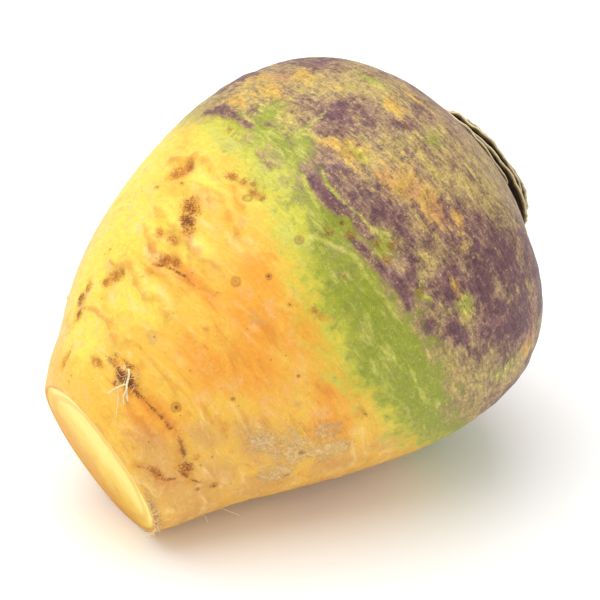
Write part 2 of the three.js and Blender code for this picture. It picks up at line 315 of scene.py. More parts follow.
# The dried leaf bases, set round the neck in a rising spiral.
LEAF_BASES = sorted(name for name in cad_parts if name.startswith("leaf_base_"))
LEAF_TURN = 137.5                 # from one to the next round the neck
LEAF_FIRST, LEAF_RISE = 136.3, 0.78   # station of the first, and the step to the next
LEAF_SPAN = 152.0                 # how far one reaches round the neck
LEAF_DEPTH, LEAF_LIFT = 3.4, 1.8  # how far its lip stands out, and rises
LEAF_THICK, LEAF_LIP = 0.8, 0.6   # thickness at its foot and at its lip
LEAF_TIP = 0.3                    # size of its tips beside its middle
LEAF_SUNK = 0.7                   # how deep the foot sits in the neck
LEAF_STEPS, LEAF_SIDES = 88, 18

# On the cut face: the direction towards which it is painted lighter, as painted light, and where a
# greenish bruise lies.
FACE_PAINTED_LIGHT_SIDE = (0.0, -0.72, 0.69)
BRUISE_SPOT = (1.0, -2.0, -11.0)

# The camera looks at a point a little off the middle of the part's box.
AIM_OFFSET = Vector((-9.1, -14.8, 2.3)) * MM
CAMERA_AZIMUTH, CAMERA_ELEVATION = -37.2, 29.3
CAMERA_DISTANCE = 0.605
CAMERA_LENS = 130.0

# The lights, each with its side and its place to the right, to the back and up.
KEY_SIZE, KEY_PLACE = 1.3, (-0.22, 0.0, 1.0)
FILL_SIZE, FILL_PLACE = 0.8, (0.1, -0.9, 0.55)

BOARD_HALF, BOARD_TICKS = 3.0, 24     # half the board's side, and points along a side
BOARD_SHADE = (0.8, 0.8, 0.8, 1.0)    # what its faint mottling turns to
BOARD_GLOW = 0.04                     # light that the board gives, to keep its shadows pale
WHITE = (1.0, 1.0, 1.0, 1.0)


# ---------------------------------------------------------------------------------------------
# Smooth random fields and curves
# ---------------------------------------------------------------------------------------------

class Field:
    """A smooth random value for every point in space, between -1 and 1."""

    CELLS = 32

    def __init__(self, seed):
        self.lattice = np.random.default_rng(seed).uniform(-1, 1, (self.CELLS,) * 3)

    def at(self, points, size):
        """The field at each point, with cells of a size."""
        place = points / size
        cell = np.floor(place).astype(int)
        part = place - cell
        part = part * part * (3 - 2 * part)
        total = np.zeros(len(points))
        for corner in np.ndindex(2, 2, 2):
            weight = np.prod(np.where(corner, part, 1 - part), axis=1)
            x, y, z = ((cell + corner) % self.CELLS).T
            total += weight * self.lattice[x, y, z]
        return total

    def rough(self, points, size):
        """The field with finer and weaker copies of itself added."""
        return sum(self.at(points + 7.3 * k, size / 2 ** k) / 2 ** k for k in range(3))


def smooth_curve(points, per_span):
    """A centripetal curve through the points, with so many steps from one to the next."""
    ends = 2 * points[0] - points[1], 2 * points[-1] - points[-2]
    knots = np.vstack([ends[0], points, ends[1]])
    share = (np.arange(per_span) / per_span)[:, None]
    spans = []
    for a, b, c, d in zip(knots, knots[1:], knots[2:], knots[3:]):
        ab, bc, cd = (math.sqrt(np.linalg.norm(q - p)) for p, q in ((a, b), (b, c), (c, d)))
        leave = ((b - a) / ab - (c - a) / (ab + bc) + (c - b) / bc) * bc
        arrive = ((c - b) / bc - (d - b) / (bc + cd) + (d - c) / cd) * bc
        spans.append(b + leave * share + (3 * (c - b) - 2 * leave - arrive) * share ** 2
                     + (2 * (b - c) + leave + arrive) * share ** 3)
    return np.vstack([*spans, points[-1]])


def even_steps(curve, step):
    """Points at about even distances along a curve, and the distance run to each of them."""
    run = np.concatenate([[0], np.cumsum(np.linalg.norm(np.diff(curve[:, :2], axis=0), axis=1))])
    marks = np.linspace(0, run[-1], round(run[-1] / step) + 1)
    return np.stack([np.interp(marks, run, column) for column in curve.T], axis=1), marks


def soft_step(value, low, high):
    """0 below low, 1 above high, and smooth between."""
    share = np.clip((value - low) / (high - low), 0, 1)
    return share * share * (3 - 2 * share)


# ---------------------------------------------------------------------------------------------
# The root's shape
# ---------------------------------------------------------------------------------------------

def around(station, radius, turn, sway):
    """A point of the root's own frame; every argument may be an array."""
    side = math.radians(SWAY_TURN)
    y = math.sin(side) * sway + radius * np.sin(turn)
    z = math.cos(side) * sway + radius * np.cos(turn)
    return np.stack(np.broadcast_arrays(station, y, z), axis=-1)


def slant(points):
    """Tips the rings near the tail so that the first one lies in the slanting cut."""
    share = np.clip(1 - points[..., 0] / CUT_REACH, 0, None)
    tip = points[..., 1] * math.tan(math.radians(CUT_SKEW))
    tip = tip + points[..., 2] * math.tan(math.radians(CUT_LEAN))
    moved = points.copy()
    moved[..., 0] += share * tip
    return moved


SKIN_CURVE = smooth_curve(OUTLINE, 40)
SHOULDER_CURVE = SKIN_CURVE[:CREST * 40]


def spot(station, turn_degrees):
    """The point of the smooth skin at a station and a turn."""
    station = np.asarray(station, float)
    radius, sway = (np.interp(station, SHOULDER_CURVE[:, 0], SHOULDER_CURVE[:, k]) for k in (1, 2))
    return slant(around(station, radius, np.radians(turn_degrees), sway))


def tilt(points):
    """Turns points of the root's own frame up by its pitch."""
    c, s = math.cos(math.radians(PITCH)), math.sin(math.radians(PITCH))
    x, y, z = np.moveaxis(points, -1, 0)
    return np.stack([x * c - z * s, y, x * s + z * c], axis=-1)


def resting_shift():
    """What moves the tilted root on to the surface and under its CAD node, in millimetres."""
    turns = np.radians(np.arange(0, 360, 2))[None, :]
    s, r, w = (column[:, None] for column in SKIN_CURVE.T)
    shell = tilt(slant(around(s, r, turns, w))).reshape(-1, 3)
    low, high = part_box("root")
    middle = np.array((low + high) / 2) / MM
    centre = (shell.min(0) + shell.max(0)) / 2
    return np.array([*(middle - centre)[:2], -shell[:, 2].min() - REST_DEPTH])


SHIFT = resting_shift()


def to_scene(points):
    """Points of the root's own frame, in the scene's metres."""
    return (tilt(points) + SHIFT) * MM


def nearness(points, samples, widths):
    """For each point, its distance from the nearest sample, counted in that sample's width."""
    best = np.full(len(points), np.inf)
    for sample, width in zip(samples, widths):
        best = np.minimum(best, np.linalg.norm(points - sample, axis=1) / width)
    return best


def stroke(points, line):
    """How strongly a band through (station, turn, half width) covers each point, 0 to 1."""
    knots = np.array(line, float)
    length = np.linalg.norm(np.diff(spot(knots[:, 0], knots[:, 1]), axis=0), axis=1)
    run = np.concatenate([[0], np.cumsum(length)])
    marks = np.arange(0, run[-1] + 0.4, 0.8)
    station, turn, width = (np.interp(marks, run, column) for column in knots.T)
    return np.exp(-nearness(points, spot(station, turn), width) ** 2)


def patch(points, station, turn, half_length, half_width):
    """How strongly an oval patch covers each point, 0 to 1."""
    centre = spot(station, turn)
    ahead = spot(station + 1, turn) - centre
    ahead /= np.linalg.norm(ahead)
    offset = points - centre
    along = offset @ ahead
    across = np.linalg.norm(offset - along[:, None] * ahead, axis=1)
    return np.exp(-(along / half_length) ** 2 - (across / half_width) ** 2)


def strongest(parts):
    """The highest of several covers at each point."""
    return np.max(np.stack(list(parts)), axis=0)


def root_grid():
    """Own-frame points of every ring, the distance run along the skin, and the rings' turns."""
    even = np.radians(np.arange(AROUND) * 360 / AROUND)
    turns = even - NEAR_SHARE * np.sin(even - math.radians(NEAR_TURN))
    rows, run = even_steps(SKIN_CURVE, RING_STEP)
    s, r, w = (column[:, None] for column in rows.T)
    skin = slant(around(s, r, turns[None, :], w))
    shares = np.linspace(0, 1, FACE_RINGS + 1)[1:-1]
    face = skin[0][None, :, :] * shares[:, None, None]
    eased = skin[0][None, :, :] * (1 - RIM_ROUND / OUTLINE[0, 1])
    rings = np.concatenate([face, eased, skin])
    runs = np.concatenate([np.full(len(face) + 1, -1.0), run])
    return rings, runs, turns


def grid_normals(rings):
    """Outward normals of a closed-round grid of rings."""
    along = np.gradient(rings, axis=0)
    across = np.roll(rings, -1, axis=1) - np.roll(rings, 1, axis=1)
    normal = np.cross(across, along)
    return normal / (np.linalg.norm(normal, axis=-1, keepdims=True) + 1e-9)


def mesh_piece(name, vertices, faces, marks=None, face_slots=None):
    """A smooth mesh object from points in metres, with named values on its points."""
    mesh = bpy.data.meshes.new(name)
    mesh.from_pydata(vertices.tolist(), [], faces)
    mesh.shade_smooth()
    for label, values in (marks or {}).items():
        flat = np.ascontiguousarray(values, np.float32)
        kind, field = ("FLOAT", "value") if flat.ndim == 1 else ("FLOAT_VECTOR", "vector")
        mesh.attributes.new(label, kind, "POINT").data.foreach_set(field, flat.ravel())
    if face_slots is not None:
        mesh.polygons.foreach_set("material_index", face_slots)
    mesh.update()
    piece = bpy.data.objects.new(name, mesh)
    bpy.context.scene.collection.objects.link(piece)
    return piece


def ring_faces(ring_count, around_count):
    """Quads between rings, and a fan on to the two poles that follow the rings' points."""
    start = np.arange(ring_count - 1)[:, None] * around_count
    here = np.arange(around_count)[None, :]
    after = (here + 1) % around_count
    quads = np.stack([start + here, start + after, start + around_count + after,
                      start + around_count + here], axis=-1).reshape(-1, 4)
    first = ring_count * around_count
    last = (ring_count - 1) * around_count
    faces = quads[:, ::-1].tolist()
    ends = list(zip(here[0].tolist(), after[0].tolist()))
    faces += [[first, a, b] for a, b in ends]
    faces += [[first + 1, last + b, last + a] for a, b in ends]
    return faces


def edge_station(pairs, turns):
    """Where a colour starts at each turn, from (turn, station) pairs round the root."""
    marks = np.array(pairs, float)
    return np.interp(np.degrees(turns), marks[:, 0], marks[:, 1], period=360)


# ---------------------------------------------------------------------------------------------
# Materials
# ---------------------------------------------------------------------------------------------

class Wire:
    """One output socket of a node, with which sums are written as in Python."""

    def __init__(self, paint, socket):
        self.paint, self.socket = paint, socket

    def __add__(self, other):
        return self.paint.sum("ADD", self, other)

    def __mul__(self, other):
        return self.paint.sum("MULTIPLY", self, other)

    def __sub__(self, other):
        return self.paint.sum("SUBTRACT", self, other)

    def __rsub__(self, other):
        return self.paint.sum("SUBTRACT", other, self)

    def __truediv__(self, other):
        return self.paint.sum("DIVIDE", self, other)

    __radd__, __rmul__ = __add__, __mul__


class Paint:
    """The node tree of one material, with a word for each thing that is drawn in it."""

    def __init__(self, name):
        self.material = bpy.data.materials.new(name)
        self.material.use_nodes = True
        self.tree = self.material.node_tree
        self.tree.nodes.clear()

    def node(self, kind, settings=None, inputs=None, output=0):
        """Adds a node: its settings first, then the value or the wire of each named socket."""
        made = self.tree.nodes.new(kind)
        for key, value in (settings or {}).items():
            setattr(made, key, value)
        for key, value in (inputs or {}).items():
            if isinstance(value, Wire):
                self.tree.links.new(value.socket, made.inputs[key])
            else:
                made.inputs[key].default_value = value
        return Wire(self, made.outputs[output]) if len(made.outputs) else made

    def sum(self, operation, a, b):
        """A sum of two values or wires."""
        return self.node("ShaderNodeMath", {"operation": operation}, {0: a, 1: b})

    def least(self, a, b):
        """The lower of two values."""
        return self.sum("MINIMUM", a, b)

    def most(self, a, b):
        """The higher of two values."""
        return self.sum("MAXIMUM", a, b)

    def mark(self, name):
        """A value that the mesh carries on its points."""
        return self.node("ShaderNodeAttribute", {"attribute_name": name}, output=2)

    def place(self, name):
        """A place that the mesh carries on its points, in millimetres."""
        return self.node("ShaderNodeAttribute", {"attribute_name": name}, output=1)

    def scaled(self, vector, factors):
        """A place or a colour times a factor, or one factor for each part."""
        return self.node("ShaderNodeVectorMath", {"operation": "MULTIPLY"}, {0: vector, 1: factors})

    def distance(self, vector, point):
        """How far a place is from a point."""
        return self.node("ShaderNodeVectorMath", {"operation": "DISTANCE"},
                         {0: vector, 1: point}, output=1)

    def noise(self, vector, size, detail=2.0, rough=0.5, twist=0.0):
        """Cloudy noise whose blots are about size across, 0 to 1."""
        return self.node("ShaderNodeTexNoise", {}, {
            "Vector": vector, "Scale": 1 / size, "Detail": detail, "Roughness": rough,
            "Distortion": twist})

    def cloud(self, *place_and_size):
        """Cloudy noise centred on 0 and mostly between -1 and 1."""
        return (self.noise(*place_and_size) - 0.5) * 5.0

    def size_of(self, value):
        """A value without its sign."""
        return self.node("ShaderNodeMath", {"operation": "ABSOLUTE"}, {0: value})

    def along(self, vector, direction):
        """How far a place lies in a direction."""
        return self.node("ShaderNodeVectorMath", {"operation": "DOT_PRODUCT"},
                         {0: vector, 1: direction}, output=1)

    def cells(self, vector, size):
        """Distance to the nearest of many scattered points, in their spacing."""
        return self.node("ShaderNodeTexVoronoi", {}, {"Vector": vector, "Scale": 1 / size})

    def ramp(self, value, low, high):
        """0 below low, 1 above high, and smooth between."""
        return self.node("ShaderNodeMapRange", {"interpolation_type": "SMOOTHSTEP"},
                         {0: value, 1: low, 2: high, 3: 0.0, 4: 1.0})

    def blend(self, factor, a, b):
        """Colour a turned into colour b by the factor."""
        return self.node("ShaderNodeMix", {"data_type": "RGBA"}, {0: factor, 6: a, 7: b}, output=2)

    def bump(self, height, distance, strength):
        """The normal of a surface with fine relief."""
        return self.node("ShaderNodeBump", {}, {
            "Height": height, "Distance": distance, "Strength": strength})

    def finish(self, colour, roughness, normal, **constants):
        """The surface shader; the constants are set on its own sockets."""
        shader = self.node("ShaderNodeBsdfPrincipled", {}, {
            "Base Color": colour, "Roughness": roughness, "Normal": normal,
            **{key.replace("_", " "): value for key, value in constants.items()}})
        self.node("ShaderNodeOutputMaterial", {}, {"Surface": shader})
        return self.material


def ink(red, green, blue):
    """A colour given in everyday 0 to 255 steps, as the shader's linear one."""
    def linear(step):
        share = step / 255
        return share / 12.92 if share <= 0.04045 else ((share + 0.055) / 1.055) ** 2.4
    return (linear(red), linear(green), linear(blue), 1.0)


def nearest_pore(paint, own, uneven):
    """Distance to the nearest pore in its own radii, and how dark that pore's eye is."""
    reach, eye = None, None
    for station, turn, radius, dark in PORES:
        centre = tuple(float(c) for c in spot(station, turn))
        away = paint.distance(own, centre) / radius + uneven
        here = (1 - paint.ramp(away, 0.30, 0.62)) * dark
        reach = away if reach is None else paint.least(reach, away)
        eye = here if eye is None else paint.most(eye, here)
    return reach, eye


class Weather:
    """The noises that the skin's colours and relief share."""

    def __init__(self, paint):
        own, grain = paint.place("own"), paint.place("grain")
        rings = paint.scaled(grain, (1.0, 0.3, 0.3))
        self.own = own
        self.wander = paint.cloud(own, 5.0, 4.0, 0.6)
        self.broad = paint.cloud(own, 19.0, 2.0, 0.5)
        self.blotch = paint.cloud(own, 3.0, 4.0, 0.65, 0.5)
        self.fine = paint.cloud(own, 1.4, 3.0, 0.7)
        self.speck = paint.cloud(own, 0.62, 2.0, 0.7)
        self.streak = paint.cloud(rings, 3.0, 5.0, 0.65, 0.7)
        self.flow = paint.cloud(paint.scaled(grain, (1.0, 0.24, 0.24)), 4.2, 2.5, 0.45, 1.4)
        self.thread = paint.cloud(rings, 0.85, 3.0, 0.7, 0.4)
        self.veins = paint.size_of(paint.cloud(own, 4.5, 4.0, 0.55, 1.2))
        self.mesh = paint.size_of(paint.cloud(own, 1.5, 3.0, 0.7, 0.8))


class Coat:
    """The colour of a surface, built up wash by wash."""

    def __init__(self, paint, colours, first):
        self.paint, self.colours, self.now = paint, colours, colours[first]

    def wash(self, amount, over):
        """Lays a colour over the one so far, by its name or as it comes."""
        over = self.colours[over] if isinstance(over, str) else over
        self.now = self.paint.blend(amount, self.now, over)

    def mixed(self, amount, a, b):
        """One named colour turned into another by the amount."""
        return self.paint.blend(amount, self.colours[a], self.colours[b])


def yellow_half(paint, air, coat):
    """The lower skin: lemon to orange, with tan where it is dry."""
    pale, orange = paint.mark("pale"), paint.mark("orange")
    light = pale + air.wander * 0.22 + air.streak * 0.2 - orange * 0.5
    coat.wash(paint.ramp(light, 0.1, 0.9), "lemon")
    warm = orange + air.streak * 0.22 + air.wander * 0.2 + air.fine * 0.06
    coat.wash(paint.ramp(warm, 0.12, 0.95), "orange")
    deep = orange * 0.7 + air.streak * 0.3 + air.blotch * 0.15
    coat.wash(paint.ramp(deep, 0.6, 1.2) * 0.7, "amber")
    dry = paint.mark("tan") + air.streak * 0.2 + air.fine * 0.12
    coat.wash(paint.ramp(dry, 0.2, 1.1) * 0.8, "tan")
    coat.wash(paint.ramp(air.wander * 0.8 + air.flow * 0.4, 0.1, 0.9) * 0.5, "peach")
    cream = paint.ramp(air.flow * 0.9 + air.streak * 0.15 - air.wander * 0.3, 0.1, 1.2)
    coat.wash(cream * (1 - paint.ramp(orange, 0.1, 0.8) * 0.75) * 0.6, "cream")
    rusty = paint.ramp(air.streak * 0.2 + air.thread * 0.15 - air.flow * 0.9, 0.25, 1.3)
    coat.wash(rusty * (1 - paint.ramp(pale, 0.1, 0.9) * 0.6) * 0.45, "rust")
    furrow = paint.mark("fold") + air.fine * 0.15 + air.blotch * 0.2
    coat.wash(paint.ramp(furrow, 0.35, 1.1) * 0.5, "stain")
    smudge = air.blotch * 0.8 + air.fine * 0.3 - air.broad * 0.2
    coat.wash(paint.ramp(smudge, 0.6, 1.5) * 0.45, "rust")
    coat.wash(paint.ramp(paint.cloud(air.own, 6.5, 2.0, 0.5), 0.75, 1.2) * 0.35, "bruise")
    lines = (1 - paint.ramp(air.veins, 0.0, 0.10)) * paint.ramp(air.broad, -0.2, 0.6)
    coat.wash(lines * 0.3, "rust")
    freckles = 1 - paint.ramp(paint.cells(air.own, 5.2), 0.04, 0.085)
    coat.wash(freckles * 0.6, "scar")


def green_band(paint, air, coat):
    """Lime to green skin over the yellow, with dull spots and pale cobwebs."""
    pale = paint.mark("pale")
    into = paint.mark("green_edge") + air.wander * 3.0 + air.streak * 1.3
    into = into + air.flow * 1.8 + air.fine * 0.7
    coat.wash(paint.ramp(into, -7.0, 5.0), "lime")
    deep = into + air.broad * 3.0 + air.blotch * 2.4 + air.thread - pale * 7.0
    coat.wash(paint.ramp(deep, -1.0, 9.0) * 0.9, "green")
    inside = paint.ramp(into, -2.0, 5.0)
    dull = air.blotch * 0.8 + air.fine * 0.4 + air.streak * 0.3 + paint.mark("dull") * 0.7
    coat.wash(paint.ramp(dull, 0.0, 1.1) * inside * 0.8, "grey_green")
    sunny = air.flow * 0.6 + air.streak * 0.3 + air.thread * 0.3 + pale * 0.5
    coat.wash(paint.ramp(sunny, 0.0, 1.0) * inside * 0.7, "ridge")
    coat.wash((1 - paint.ramp(air.veins, 0.0, 0.07)) * inside * 0.4, "ridge")


def crown_colour(paint, air, colours):
    """The purple crown, broken by olive threads and by ochre, pink and lime patches."""
    coat = Coat(paint, colours, "purple")
    band, olive = paint.mark("band"), paint.mark("olive")
    # The dark patches, partly painted shade on the side away from the light, keep back the lighter
    # washes.
    dark = paint.mark("dark") + band * 0.6
    coat.wash(paint.ramp(air.wander * 0.6 + air.blotch * 0.4 - dark * 0.5, -0.6, 0.7), "plum")
    light = air.thread * 0.3 + air.speck * 0.25 + air.blotch * 0.4 + air.streak * 0.3
    light = light + air.flow * 0.35 + air.wander * 0.25 + air.broad * 0.3
    light = light + olive * 0.8 - dark * 0.9
    coat.wash(paint.ramp(light, -0.97, 1.13), "olive")
    ragged = air.streak * 0.3 + air.thread * 0.2 + air.speck * 0.12 + air.blotch * 0.35
    ragged = ragged + air.flow * 0.3
    ochre = paint.mark("ochre") * 1.15 + olive * 0.2 + ragged - dark * 0.4
    coat.wash(paint.ramp(ochre, 0.1, 1.5), "ochre")
    rosy = paint.mark("pink") + ragged * 0.8 - band
    coat.wash(paint.ramp(rosy, 0.3, 1.3) * 0.6, "pink")
    limy = paint.mark("lime") * 1.2 + olive * 0.15 + ragged * 0.8 - dark * 0.3
    limy = limy + air.wander * 0.3 + air.flow * 0.2
    mossy = paint.ramp(air.streak + air.blotch * 0.5, -0.3, 0.8)
    coat.wash(paint.ramp(limy, 0.2, 1.6) * 0.75, coat.mixed(mossy, "green", "ridge"))
    return coat.now


def crown_share(paint, air):
    """How far the purple has taken over, with a ragged edge."""
    edge, ridge = paint.mark("purple_edge"), paint.mark("ridge")
    share = edge * 0.2 + air.streak * 0.75 + air.wander * 0.5
    share = share + air.blotch * 0.6 + air.thread * 0.35 + air.speck * 0.25 + air.flow * 0.4
    # The dark patches, partly painted shade, also let the purple take over.
    share = share + paint.mark("dark") * 1.6 + paint.mark("band") * 3.0 - ridge * 2.6
    share = share - paint.mark("lime") * 2.2 - paint.mark("ochre") * 0.4
    return paint.ramp(share, -1.2, 1.2) * paint.ramp(edge, -9.0, -2.0)


def crown_half(paint, air, colours, coat):
    """The crown with its raised lines and painted glints, pale flecks that stand in for tiny
    highlights; returns what the relief needs of it.
    """
    in_crown = crown_share(paint, air)
    coat.wash(in_crown, crown_colour(paint, air, colours))
    raised = paint.mark("ridge") + air.fine * 0.25 + air.blotch * 0.25
    coat.wash(paint.ramp(raised, 0.3, 1.05) * 0.65, "ridge")
    beyond = paint.ramp(paint.mark("green_edge"), -6.0, 10.0)
    # Painted glints: tiny pale flecks and finer specks that stand in for specular highlights on the
    # green and purple skin.
    glints = (1 - paint.ramp(paint.cells(air.own, 2.1), 0.05, 0.14)) * beyond
    coat.wash(glints * 0.5, "glint")
    fine_glints = paint.ramp(air.speck * 0.6 + air.thread * 0.5, 0.8, 1.5) * beyond
    coat.wash(fine_glints * 0.35, "glint")
    return in_crown, beyond, glints


def scar_tissue(paint, air, coat, sore):
    """Stains, scars and cracks; returns where the skin is hurt and where it is split."""
    stain = paint.mark("stain") + air.blotch * 0.22 + air.streak * 0.12
    coat.wash(paint.ramp(stain, 0.2, 1.1) * 0.5, "stain")
    scar, char = paint.mark("scar"), paint.mark("char")
    hurt = paint.ramp(scar + air.fine * 0.22 + air.speck * 0.15, 0.25, 0.85)
    coat.wash(hurt * 0.45, sore)
    bitten = scar * 0.8 - air.mesh * 1.6 + air.speck * 0.25
    coat.wash(paint.ramp(bitten, 0.0, 0.6) * 0.65, "scar")
    old = char + air.fine * 0.12 + air.speck * 0.1
    coat.wash(paint.ramp(old, 0.3, 0.8) * 0.6, "scar")
    burnt = char * 1.25 - air.mesh * 1.5 + air.speck * 0.25
    coat.wash(paint.ramp(burnt, 0.1, 0.6) * 0.8, "char")
    crack = paint.mark("crack") * (air.blotch * 0.5 + 0.7)
    opened = crack + air.fine * 0.2 + air.speck * 0.1
    coat.wash(paint.ramp(opened, 0.1, 0.9) * 0.75, "scar")
    split = paint.ramp(crack * 1.1 - air.mesh * 1.3 + air.speck * 0.25, 0.1, 0.8)
    coat.wash(split * 0.5, "char")
    return hurt, split


def flaking_cork(paint, air, coat):
    """Flaking cork on the underside; returns where it flakes."""
    cork = paint.mark("cork") + air.streak * 0.3
    flaky = paint.ramp(cork * 1.1 - air.mesh * 1.6 + air.fine * 0.35, 0.1, 0.7)
    coat.wash(paint.ramp(cork, 0.2, 1.0) * 0.35, "bruise")
    coat.wash(flaky * 0.6, "cork")
    return flaky


def pores(paint, air, coat, sore):
    """Ringed pores; returns their raised rings and their dark eyes."""
    reach, eye = nearest_pore(paint, air.own, air.fine * 0.12)
    halo = paint.ramp(reach, 0.45, 0.8) * (1 - paint.ramp(reach, 0.95, 1.45))
    coat.wash(halo * 0.3, sore)
    coat.wash(halo * 0.35, "scar")
    coat.wash(eye * 0.85, "char")
    return halo, eye


def torn_rim(paint, air, coat):
    """The crumbly side of the cut's rim; returns where it crumbles."""
    torn = paint.mark("torn")
    crumbs = paint.ramp(torn + air.fine * 0.5 + air.speck * 0.3, 0.4, 0.9)
    coat.wash(crumbs * 0.55, "cork")
    coat.wash(paint.ramp(torn * 0.6 - air.mesh, 0.0, 0.5) * 0.75, "scar")
    return crumbs


def skin_material(colours):
    """The root's skin: yellow, through a green band, to the mottled purple crown."""
    paint = Paint("root_skin_paint")
    air = Weather(paint)
    coat = Coat(paint, colours, "yellow")
    yellow_half(paint, air, coat)
    green_band(paint, air, coat)
    in_crown, beyond, glints = crown_half(paint, air, colours, coat)
    sore = coat.mixed(beyond * 0.8, "stain", "grey_green")
    hurt, split = scar_tissue(paint, air, coat, sore)
    flaky = flaking_cork(paint, air, coat)
    halo, eye = pores(paint, air, coat, sore)
    crumbs = torn_rim(paint, air, coat)
    # Past the shoulder's crest, the groove and the neck inside the leaf bases get painted shade,
    # near black, broken by threads of withered bark brown.
    neck = paint.mark("neck")
    threads = paint.ramp(air.streak * 0.7 + air.thread * 0.5, -0.2, 1.2) * 0.6
    coat.wash(paint.ramp(neck, 0.2, 0.8), coat.mixed(threads, "groove_shade", "bark"))

    grain = air.speck * 0.05 + air.fine * 0.06 + air.thread * 0.07 + air.streak * 0.04
    tone = grain * (in_crown * 2.2 + beyond * 0.8 + 0.8) + 1.0
    rough = 0.42 + air.fine * 0.05 + hurt * 0.25 + flaky * 0.25 + in_crown * 0.1 + neck * 0.3
    relief = air.fine * 0.10 + air.thread * 0.13 + air.speck * 0.07 + air.streak * 0.12
    relief = relief - paint.least(air.mesh, 0.6) * hurt * 0.8 + flaky * 0.6
    relief = relief - split * 0.9 - eye * 0.8 + halo * 0.3 - glints * 0.15 + crumbs * 0.4
    return paint.finish(paint.scaled(coat.now, tone), rough, paint.bump(relief, 0.35 * MM, 0.8),
                        Specular_IOR_Level=0.3, Subsurface_Weight=0.05,
                        Subsurface_Scale=2.0 * MM, Subsurface_Radius=(1.0, 0.6, 0.25))


def flesh_material(colours):
    """The cut face of the tail: moist flesh, painted lighter towards its upper side with a streak
    of painted highlight, a ring inside the rim, and a thin edge of skin.
    """
    paint = Paint("cut_flesh_paint")
    own = paint.place("own")
    flat = paint.scaled(own, (0.0, 1.0, 1.0))
    reach = paint.node("ShaderNodeVectorMath", {"operation": "LENGTH"}, {0: flat}, output=1)
    reach = reach / OUTLINE[0, 1]
    cloud = paint.cloud(own, 6.0, 3.0, 0.6)
    fibre = paint.cloud(own, 0.9, 3.0, 0.7)
    drawn = paint.cloud(paint.scaled(own, (1.0, 0.35, 1.2)), 2.2, 4.0, 0.65, 0.5)
    facing = paint.along(own, FACE_PAINTED_LIGHT_SIDE) / OUTLINE[0, 1]
    # The face is painted darker on its lower side and lighter towards its upper side: painted shade
    # and painted light.
    coat = Coat(paint, colours, "deep_flesh")
    coat.wash(paint.ramp(facing + cloud * 0.12, -0.75, 0.0), "flesh")
    # A pale streak across the lighter side is a painted highlight.
    streak = paint.ramp(facing + cloud * 0.1, -0.1, 0.3)
    streak = streak * (1 - paint.ramp(facing + cloud * 0.08, 0.62, 0.85))
    coat.wash(streak * 0.85, "pale_flesh")
    ring = paint.ramp(reach + drawn * 0.02, 0.74, 0.80) * (1 - paint.ramp(reach, 0.84, 0.9))
    coat.wash(ring * 0.4, "deep_flesh")
    coat.wash(paint.ramp(drawn, 0.5, 1.3) * 0.3, "orange")
    coat.wash(paint.ramp(fibre, 0.7, 1.5) * 0.25, "pale_flesh")
    bruised = 1 - paint.ramp(paint.distance(own, BRUISE_SPOT) + cloud * 1.2, 1.0, 3.4)
    coat.wash(bruised * 0.3, "grey_green")
    coat.wash(paint.ramp(reach + cloud * 0.012, 0.925, 0.985) * 0.8, "stain")
    relief = fibre * 0.14 + cloud * 0.2 + drawn * 0.15 + ring * 0.3
    return paint.finish(coat.now, 0.48 + fibre * 0.06, paint.bump(relief, 0.35 * MM, 0.8),
                        Specular_IOR_Level=0.22, Subsurface_Weight=0.1,
                        Subsurface_Scale=3.0 * MM, Subsurface_Radius=(1.0, 0.8, 0.4))


def leaf_material(colours):
    """Dried leaf base: straw on the lip, brown down its sides, and painted shade, near black, at
    its foot in the furrow.
    """
    paint = Paint("dried_leaf_paint")
    out = paint.mark("outward")
    thread = paint.cloud(paint.scaled(paint.place("grain"), (1.0, 0.25, 0.25)), 0.8, 4.0, 0.65)
    cloud = paint.cloud(paint.place("own"), 4.0, 3.0, 0.6)
    # It starts from painted shade, near black, where the foot sits in the furrow between leaf
    # bases.
    coat = Coat(paint, colours, "groove_shade")
    coat.wash(paint.ramp(out + thread * 0.05, 0.74, 0.9), "bark")
    coat.wash(paint.ramp(out + thread * 0.03 + cloud * 0.015, 0.88, 0.96), "straw")
    coat.wash(paint.ramp(cloud * 0.6 + thread * 0.4, 0.3, 1.0) * 0.4, "bark")
    relief = thread * 0.25 + cloud * 0.1
    return paint.finish(coat.now, 0.72 + thread * 0.08, paint.bump(relief, 0.3 * MM, 0.8),
                        Specular_IOR_Level=0.3)


def rootlet_material(colours):
    """Dry, pale rootlets and torn fibres."""
    paint = Paint("rootlet_paint")
    own = paint.place("own")
    mottle = paint.noise(own, 1.2, 3.0, 0.6)
    colour = paint.blend(paint.ramp(mottle, 0.4, 0.65), colours["straw"], colours["cork"])
    return paint.finish(colour, 0.7 + (mottle - 0.5) * 0.2, paint.bump(mottle, 0.1 * MM, 0.6),
                        Specular_IOR_Level=0.3)


def backdrop_material(colour):
    """Matt white board with the faintest mottling."""
    paint = Paint("white_board_paint")
    where = paint.node("ShaderNodeTexCoord", {}, {}, output=3)
    mottle = paint.noise(where, 0.06, 2.0, 0.5)
    shade = paint.blend(mottle * 0.03, colour, BOARD_SHADE)
    return paint.finish(shade, 0.9 - mottle * 0.05, paint.bump(mottle, 0.02 * MM, 0.1),
                        Specular_IOR_Level=0.1, Emission_Color=WHITE,
                        Emission_Strength=BOARD_GLOW)


# ---------------------------------------------------------------------------------------------
# What a user would change
# ---------------------------------------------------------------------------------------------

def colour_prop(name, description, red, green, blue):
    """A colour that a user may change, from its 0 to 255 steps."""
    return bpy.props.FloatVectorProperty(
        name=name, description=description, subtype="COLOR", size=4, min=0, max=1,
        default=ink(red, green, blue))


def height_prop(name, description, default):
    """A height or a depth on the skin, kept in metres and given in millimetres."""
    return bpy.props.FloatProperty(
        name=name, description=f"{description}, in metres", default=default * MM,
        min=0, max=0.003, unit="LENGTH", precision=5)


